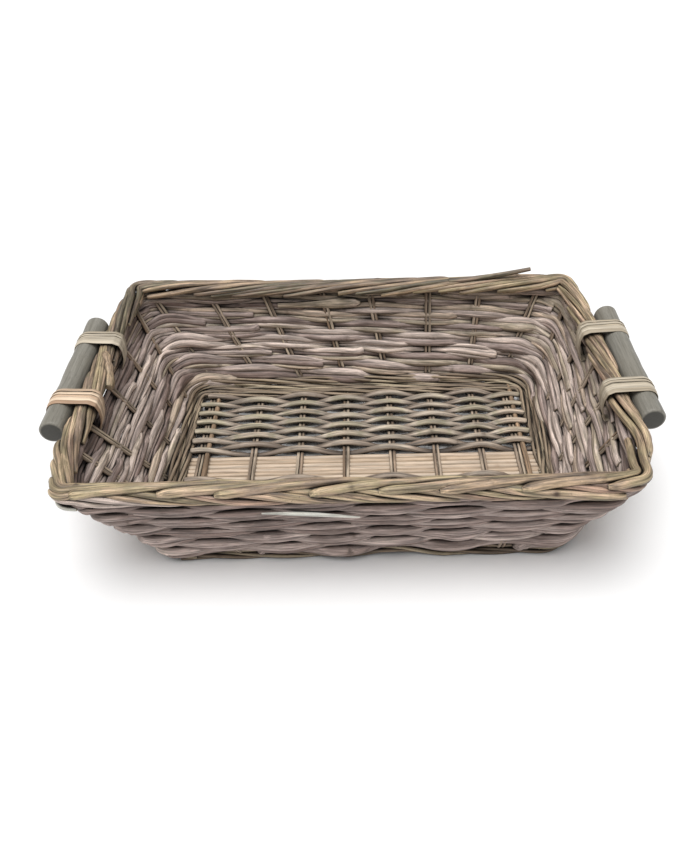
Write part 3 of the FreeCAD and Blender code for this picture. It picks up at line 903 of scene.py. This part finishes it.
def rim_middle(station):
    """The middle of the border's section at each station."""
    size = [np.full(station.shape, value) for value in (
        RIM_HALF_LENGTH - RIM_INSET, RIM_HALF_DEPTH - RIM_INSET, max(RIM_RADIUS - RIM_INSET, 6 * MM), 0.0)]
    sigma = sigma_at(station, np.full(station.shape, STAKE_TOP), size)
    x, y = outline_point(sigma, size, RIM_BOW)
    raised = np.exp(-((station % STATION_COUNT - RAISED_PLACE) / RAISED_REACH) ** 2)
    handle_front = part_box("handle_left")[0].y
    bulge = np.where(x > 0, RIGHT_BULGE, LEFT_BULGE)
    bulge = bulge * np.exp(-((y - handle_front + BULGE_REACH * 0.8) / BULGE_REACH) ** 2)
    x = x + np.sign(x) * bulge * smooth_step((np.abs(x) - 200 * MM) / (30 * MM))
    cut = np.exp(-((station % STATION_COUNT - CUT_PLACE) / CUT_REACH) ** 2)
    level = np.full_like(x, RIM_MIDDLE_Z)
    return np.stack([x, y, level], -1) + raised[:, None] * RAISED_BY + cut[:, None] * CUT_BY


def rim_point(station, angle, reach):
    """A point round the border's section: angle 0 is outwards, a quarter turn is up."""
    along = rim_middle(station + 0.12) - rim_middle(station - 0.12)
    out = unit(np.cross(along, np.array([0.0, 0.0, 1.0])))
    lift = np.array([0.0, 0.0, 1.0])
    sideways = out * (reach * np.cos(angle))[:, None]
    return rim_middle(station) + sideways + lift * (reach * np.sin(angle))[:, None]


def turn_through(share, stops):
    """A smooth course through (share, value) stops."""
    shares = np.array([stop[0] for stop in stops])
    values = np.array([stop[1] for stop in stops])
    rough = np.interp(share, shares, values)
    kernel = np.hanning(15)
    padded = np.concatenate([np.full(7, rough[0]), rough, np.full(7, rough[-1])])
    return np.convolve(padded, kernel / kernel.sum(), "valid")


KNOTTED_ROD_PLACE = (5, 1)      # the stake and half step whose under rod is thick and knotted
BORDER_SHARE = np.linspace(0, 1, 100)
BORDER_TINTS = {"front": (0.4, 1.0), "right": (0.36, 0.9), "back": (0.1, 0.55), "left": (0.36, 0.8)}
SLENDER = 0.82                  # over rods of the walls that have two per stake are slimmer by this


def add_over_rod(bundle, place, wall, rng):
    """A thick rod that starts outside the border and rises over it to its inside."""
    share = BORDER_SHARE
    length = rng.uniform(2.7, 3.3)
    start = place - 0.1 + rng.uniform(-0.16, 0.16)
    station = start + length * share
    first_angle = rng.uniform(24, 40)
    last_angle = rng.uniform(176, 204)
    stops = ((0, first_angle), (0.25, 66), (0.5, 100), (0.75, 145), (1, last_angle))
    angle = turn_through(share, stops) + wobble(share, rng, 5, 1.2)
    reach = turn_through(share, ((0, 9.6), (0.15, 9.2), (0.5, 7.8), (0.8, 7.4), (1, 7.8)))
    reach = (reach + wobble(share, rng, 0.5, 0.8)) * MM
    radius = np.linspace(rng.uniform(3.9, 4.7), rng.uniform(2.8, 3.4), len(share)) * MM
    radius *= 1 - 0.45 * np.clip(1 - share / 0.07, 0, 1) ** 2
    radius *= 1.0 if wall == "front" else SLENDER
    path = rim_point(station, np.radians(angle), reach)
    bundle.add(path, radius, rng, tint=rng.uniform(*BORDER_TINTS[wall]), sides=14)


def add_under_rod(bundle, place, wall, rng):
    """A thinner rod that runs from the border's inside down its outer face."""
    share = BORDER_SHARE
    length = rng.uniform(1.5, 2.1)
    start = place + rng.uniform(-0.12, 0.12)
    station = start + length * share
    last_angle = rng.uniform(-92, -62)
    angle = turn_through(share, ((0, 60), (0.3, 24), (0.7, -36), (1, last_angle)))
    reach = turn_through(share, ((0, 3.5), (0.3, 7.6), (0.8, 8.6), (1, 7.4)))
    reach = (reach + wobble(share, rng, 0.5, 0.8)) * MM
    radius = np.linspace(rng.uniform(2.5, 3.6), rng.uniform(1.9, 2.6), len(share)) * MM
    tucked = sum(np.exp(-((station - corner) / 0.6) ** 2) for corner in TUCKED_CORNERS)
    reach = reach * (1 - 0.6 * tucked * smooth_step((20 - angle) / 40))
    path = rim_point(station, np.radians(angle), reach)
    bundle.add(path, radius, rng, tint=rng.uniform(*BORDER_TINTS[wall]), sides=12)


def make_border():
    """A plait of thick rods over the rim and two thinner ones per stake down its outside.

    The front has one over rod per stake, and the other walls have two slimmer ones.
    """
    for wall in WALLS:
        over = RodBundle()
        under = RodBundle()
        first = FIRST_STATION[wall]
        step = 1.0 if wall == "front" else 0.5
        for place in np.arange(first, first + STAKE_COUNTS[wall], step):
            index = int(place)
            between = place > index
            rng = np.random.default_rng(700 + index + (100 if between else 0))
            add_over_rod(over, place, wall, rng)
            if between:
                continue
            for half in (0, 1):
                if (index, half) != KNOTTED_ROD_PLACE:
                    add_under_rod(under, index + 0.12 + 0.5 * half, wall, rng)
        over.piece("border_over_rods_" + wall, border_willow, "border_willow", ["border_" + wall])
        finish, slot = border_willow, "border_willow"
        if wall in ("left", "right"):
            finish, slot = wall_willow, "wall_willow"
        under.piece("border_under_rods_" + wall, finish, slot, ["border_" + wall])


# ---- single rods that stand out

def single_rod(name, material, slot, nodes, path, radius, rng, **options):
    """A piece that is one rod."""
    bundle = RodBundle()
    bundle.add(path, radius, rng, **options)
    bundle.piece(name, material, slot, nodes)


def make_knotted_rod():
    """A thick rod with a round knot, low on the front border near the right corner."""
    rng = np.random.default_rng(950)
    share = np.linspace(0, 1, 80)
    angle = np.radians(turn_through(share, ((0, 40), (0.4, 2), (1, -34))))
    reach = turn_through(share, ((0, 4.5), (0.3, 8.6), (1, 10.2))) * MM
    path = rim_point(5.62 + 1.6 * share, angle, reach)
    radius = 4.2 * MM * (1 - 0.35 * np.clip(share * 4 - 3, 0, 1) ** 2)
    single_rod("border_knotted_rod", border_willow, "border_willow", ["border_front"],
               path, radius, rng, tint=0.78, sides=18, knots=False, knot=(0.42, 0.9))


def make_split_sliver():
    """A pale split sliver that hangs loose under the front border, left of the middle."""
    rng = np.random.default_rng(951)
    share = np.linspace(0, 1, 60)
    station = 2.3 + 1.35 * share
    z = (103.5 - 6.5 * share + 1.5 * np.sin(4 * share)) * MM
    path = surface(station, z) + outward(station, z) * (6 + 1.5 * share)[:, None] * MM
    radius = 2.5 * MM * np.sin(math.pi * (0.12 + 0.8 * share))
    single_rod("border_split_sliver", grey_willow, "border_willow", ["border_front"],
               path, radius, rng, tint=1.0, sides=10, knots=False, flat=0.4, up=(0, -1, 0))


def make_wide_rod():
    """A wide, flattened greenish rod inside the back wall, just under the border."""
    rng = np.random.default_rng(952)
    share = np.linspace(0, 1, 70)
    station = 17.25 + 1.6 * share
    z = (102.4 - 1.8 * share) * MM
    path = surface(station, z) - outward(station, z) * (6.4 - 1.5 * share)[:, None] * MM
    radius = (3.2 + 3.4 * np.exp(-((share - 0.3) / 0.28) ** 2)) * MM
    radius *= 1 - 0.6 * np.clip(1 - share / 0.06, 0, 1)
    single_rod("wall_wide_rod", wall_willow, "wall_willow", ["wall_weave_back"],
               path, radius, rng, tint=0.8, sides=14, knots=False, flat=0.45, up=(0, 1, 0))


def make_loose_tip():
    """A thin tip that stands up out of the back border near the right corner."""
    rng = np.random.default_rng(953)
    share = np.linspace(0, 1, 50)
    path = rim_middle(15.6 - 1.42 * share)
    path[:, 1] -= 1 * MM
    path[:, 2] = RIM_TOP - 3 * MM + 13 * MM * share ** 1.6
    single_rod("border_loose_tip", border_willow, "border_willow", ["border_back"],
               path, (3.6 - 1.4 * share) * MM, rng, tint=0.24, sides=12)


def make_corner_wraps():
    """Thin grey rods that come down round the front left corner, under the border."""
    rng = np.random.default_rng(954)
    share = np.linspace(0, 1, 90)
    bundle = RodBundle()
    for number in range(4):
        first, last = -8 - 14 * number, -58 - 16 * number
        angle = np.radians(first + (last - first) * smooth_step(share * 1.1))
        reach = (11.6 + 0.4 * number + wobble(share, rng, 0.5, 0.7)) * MM
        path = rim_point(25.9 + 0.12 * number + (2.0 - 0.15 * number) * share, angle, reach)
        bundle.add(path, (2.3 - 0.7 * share) * MM, rng, tint=rng.uniform(0.5, 0.66), sides=10)
    bundle.piece("border_corner_wraps", grey_willow, "wall_willow", ["border_left"])


def make_knobby_end():
    """A gnarled rod end that hangs inside the left border, between the lashings."""
    rng = np.random.default_rng(955)
    share = np.linspace(0, 1, 60)
    angle = np.radians(96 + 96 * share)
    path = rim_point(23.6 + 0.62 * share, angle, (9.2 + 2.2 * share) * MM)
    radius = (3.6 + 1.0 * np.sin(9 * share) ** 2 + 1.2 * share) * MM
    single_rod("border_knobby_end", border_willow, "border_willow", ["border_left"],
               path, radius, rng, tint=0.52, sides=16, knot=(0.7, 2.0))


def make_corner_stub():
    """A short cut end that pokes out under the front right corner of the border."""
    rng = np.random.default_rng(956)
    share = np.linspace(0, 1, 20)
    path = rim_point(7.0 + 0.35 * share, np.radians(-82 - 6 * share), (13.5 + 1.6 * share) * MM)
    single_rod("border_corner_stub", border_willow, "border_willow", ["border_front"],
               path, 2.8 * MM, rng, tint=0.36, sides=12)


# ---- handles and bindings

WOOD_STOPS = [(0.25, rgb(96, 94, 86)), (0.5, rgb(132, 129, 120)), (0.75, rgb(156, 152, 143))]


def wood_material():
    """Weathered grey dowel wood: grain along Y, darker pores and dark end grain."""
    nodes = Nodes("handle_wood")
    grain = nodes.attribute("grain", "Vector")
    lines = nodes.noise(nodes.stretch(grain, (1.0, 1.0, 0.03)), 420, 5.0, 0.65)
    pores = nodes.noise(nodes.stretch(grain, (1.0, 1.0, 0.06)), 2200, 2.0, 0.6)
    patches = nodes.noise(nodes.stretch(grain, (1.0, 1.0, 0.4)), 40, 3.0, 0.6)
    colour = nodes.ramp(lines, WOOD_STOPS)
    colour = nodes.mix(nodes.span(patches, 0.4, 0.7, 0.0, 0.5), colour, rgb(122, 116, 103))
    colour = nodes.mix(nodes.span(pores, 0.56, 0.7, 0.0, 0.45), colour, rgb(70, 64, 56))
    colour = nodes.mix(nodes.attribute("cut"), colour, rgb(60, 58, 52))
    nodes.link(colour, nodes.shader.inputs["Base Color"])
    nodes.link(nodes.span(lines, 0.3, 0.7, 0.42, 0.6), nodes.shader.inputs["Roughness"])
    nodes.bump(nodes.math("ADD", lines, nodes.math("MULTIPLY", pores, 0.3)), 0.4 * MM, 0.5)
    return nodes.material


handle_wood = wood_material()


def make_handles():
    """The two dowels, with softly rounded ends."""
    for number, side in enumerate(("left", "right")):
        rng = np.random.default_rng(800 + number)
        node = "handle_" + side
        low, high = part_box(node)
        middle = (low + high) / 2
        radius = (high.z - low.z) / 2
        y = np.concatenate([[low.y, low.y + 0.5 * MM, low.y + 1.5 * MM],
                            np.linspace(low.y + 3 * MM, high.y - 3 * MM, 60),
                            [high.y - 1.5 * MM, high.y - 0.5 * MM, high.y]])
        size = radius * (1 + wobble(y, rng, 0.004, 0.08))
        size[[0, -1]] = radius * 0.9
        size[[1, -2]] = radius * 0.955
        path = np.stack([np.full_like(y, middle.x), y, np.full_like(y, middle.z)], -1)
        bundle = RodBundle()
        bundle.add(path, size, rng, tint=0.5, sides=48, knots=False)
        bundle.piece("handle_dowel_" + side, handle_wood, "handle_wood", [node])


CANE_STOPS = [(0.00, rgb(170, 156, 134)), (0.5, rgb(190, 178, 158)), (1.00, rgb(200, 188, 168))]
TAN_CANE_STOPS = [(0.00, rgb(170, 136, 108)), (0.5, rgb(202, 172, 144)), (1.00, rgb(222, 200, 174))]
# The last number of each cane is the strength of the painted shade between its strands.
binding_cane = willow_material("binding_cane", CANE_STOPS, PALE_WOOD, rgb(150, 126, 92),
                               0.42, 0.5, 0.6, 0.55)
tan_binding_cane = willow_material("tan_binding_cane", TAN_CANE_STOPS, PALE_WOOD, rgb(150, 108, 70),
                                   0.42, 0.5, 0.6, 0.55)


def binding_loop(node, side):
    """The lashing's line in the XZ plane: round the dowel, over the border and down inside the wall."""
    low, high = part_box(node)
    dowel_low, dowel_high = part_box("handle_" + side)
    sign = -1 if side == "left" else 1
    centre_x = abs((dowel_low.x + dowel_high.x) / 2)
    centre_z = (dowel_low.z + dowel_high.z) / 2
    radius = (dowel_high.z - dowel_low.z) / 2 + 0.8 * MM
    inner_x = min(abs(low.x), abs(high.x)) + 0.6 * MM
    wall_x = inner_x + 14 * MM
    points = [
        (inner_x + 5 * MM, low.z + 1 * MM), (inner_x + 2 * MM, low.z + 7 * MM), (inner_x, low.z + 15 * MM),
        (inner_x, RIM_TOP - 8 * MM), (inner_x + 2 * MM, RIM_TOP - 1 * MM),
        (inner_x + 8 * MM, RIM_TOP + 2.2 * MM),
    ]
    for degrees in np.linspace(97, -110, 24):
        angle = math.radians(degrees)
        points.append((centre_x + radius * math.cos(angle), centre_z + radius * math.sin(angle)))
    points += [(wall_x + 8 * MM, low.z + 6 * MM), (wall_x, low.z), (inner_x + 4.5 * MM, low.z - 1 * MM)]
    line = np.array([(sign * x, 0.0, z) for x, z in points])
    return resample(line, 1.2 * MM), low.z


STRANDS = 5                     # flat canes in every lashing
STRAND_PITCH = 4.4 * MM
STRAND_HALF_WIDTH = 3.0 * MM
STRAND_HALF_THICKNESS = 0.6 * MM
LOOP_MIDDLE_X = 258 * MM        # the middle of a lashing's loop, out from the basket's middle
LOOP_MIDDLE_Z = 118 * MM


def make_bindings():
    """The four lashings: strands side by side, drawn together towards their lower end."""
    for number, (side, end) in enumerate((s, e) for s in ("left", "right") for e in ("front", "back")):
        rng = np.random.default_rng(900 + number)
        node = "binding_%s_%s" % (side, end)
        low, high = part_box(node)
        line, low_z = binding_loop(node, side)
        middle_y = (low.y + high.y) / 2
        spread = np.clip((line[:, 2] - low_z) / (33 * MM), 0, 1)
        bundle = RodBundle()
        for strand in range(STRANDS):
            place_y = (strand - (STRANDS - 1) / 2) * STRAND_PITCH + rng.uniform(-0.5, 0.5) * MM
            path = line.copy()
            path[:, 1] = middle_y + place_y * (0.3 + 0.7 * spread) - 5 * MM * (1 - spread)
            path[:, 1] += wobble(np.arange(len(path)) * 1.2 * MM, rng, 0.3 * MM, 0.06)
            away = path - np.array([np.sign(low.x) * LOOP_MIDDLE_X, 0.0, LOOP_MIDDLE_Z])
            away[:, 1] = 0.0
            path += unit(away) * (strand % 2) * 0.25 * MM
            add_ribbon(bundle, path, rng)
        material = tan_binding_cane if (side, end) == ("left", "front") else binding_cane
        bundle.piece("binding_cane_%s_%s" % (side, end), material, "binding_cane", [node])


def add_ribbon(bundle, path, rng):
    """A flat strand whose broad side faces away from the middle of its loop."""
    flat = STRAND_HALF_THICKNESS / STRAND_HALF_WIDTH
    up = path[0] - path.mean(0)
    bundle.add(path, STRAND_HALF_WIDTH, rng, sides=10, knots=False, flat=flat, up=up)


# ---- floor, lights and camera

FLOOR_REACH = 6.0


def add_floor():
    """A plain white floor under the basket."""
    mesh = bpy.data.meshes.new("floor")
    reach = FLOOR_REACH
    corners = [(-reach, -reach, 0), (reach, -reach, 0), (reach, reach, 0), (-reach, reach, 0)]
    mesh.from_pydata(corners, [], [(0, 1, 2, 3)])
    floor = bpy.data.objects.new("floor", mesh)
    bpy.context.scene.collection.objects.link(floor)
    nodes = Nodes("floor_white")
    nodes.shader.inputs["Base Color"].default_value = (0.9, 0.9, 0.9, 1)
    nodes.shader.inputs["Roughness"].default_value = 0.9
    mesh.materials.append(nodes.material)


def add_lights():
    """Soft daylight: a broad light from above, a little left and in front, and a bright white room."""
    light = bpy.data.lights.new("key_light", "SUN")
    light.energy = 2.8
    light.angle = math.radians(45)
    key = bpy.data.objects.new("key_light", light)
    bpy.context.scene.collection.objects.link(key)
    key.rotation_euler = Vector((0.12, 0.18, -1)).to_track_quat("-Z", "Y").to_euler()
    world = bpy.data.worlds.new("studio")
    bpy.context.scene.world = world
    world.use_nodes = True
    background = world.node_tree.nodes["Background"]
    background.inputs["Color"].default_value = (1, 1, 1, 1)
    background.inputs["Strength"].default_value = 0.42


def add_camera():
    """A camera in front of the basket, looking down into it, turned a little about its own axis."""
    azimuth = math.radians(1.14)
    elevation = math.radians(39.6)
    roll = math.radians(-1.94)
    distance = 0.8219
    target = Vector((-0.00195, -0.01431, 0.06544))
    back = Vector((math.sin(azimuth) * math.cos(elevation), -math.cos(azimuth) * math.cos(elevation),
                   math.sin(elevation)))
    right = (-back).cross(Vector((0, 0, 1))).normalized()
    above = back.cross(right)
    turned_right = math.cos(roll) * right + math.sin(roll) * above
    turned_up = math.cos(roll) * above - math.sin(roll) * right
    data = bpy.data.cameras.new("camera")
    data.sensor_width = 36
    data.lens = 34.09
    camera = bpy.data.objects.new("camera", data)
    bpy.context.scene.collection.objects.link(camera)
    camera.matrix_world = Matrix((
        (turned_right.x, turned_up.x, back.x, target.x + back.x * distance),
        (turned_right.y, turned_up.y, back.y, target.y + back.y * distance),
        (turned_right.z, turned_up.z, back.z, target.z + back.z * distance),
        (0, 0, 0, 1)))
    bpy.context.scene.camera = camera


make_stakes()
make_end_sticks()
make_strip_rods()
make_base_weave()
make_upsett()
make_wall_weave()
make_border()
make_knotted_rod()
make_split_sliver()
make_wide_rod()
make_loose_tip()
make_corner_wraps()
make_knobby_end()
make_corner_stub()
make_handles()
make_bindings()
add_floor()
add_lights()
add_camera()
bpy.context.scene.view_settings.view_transform = "Standard"
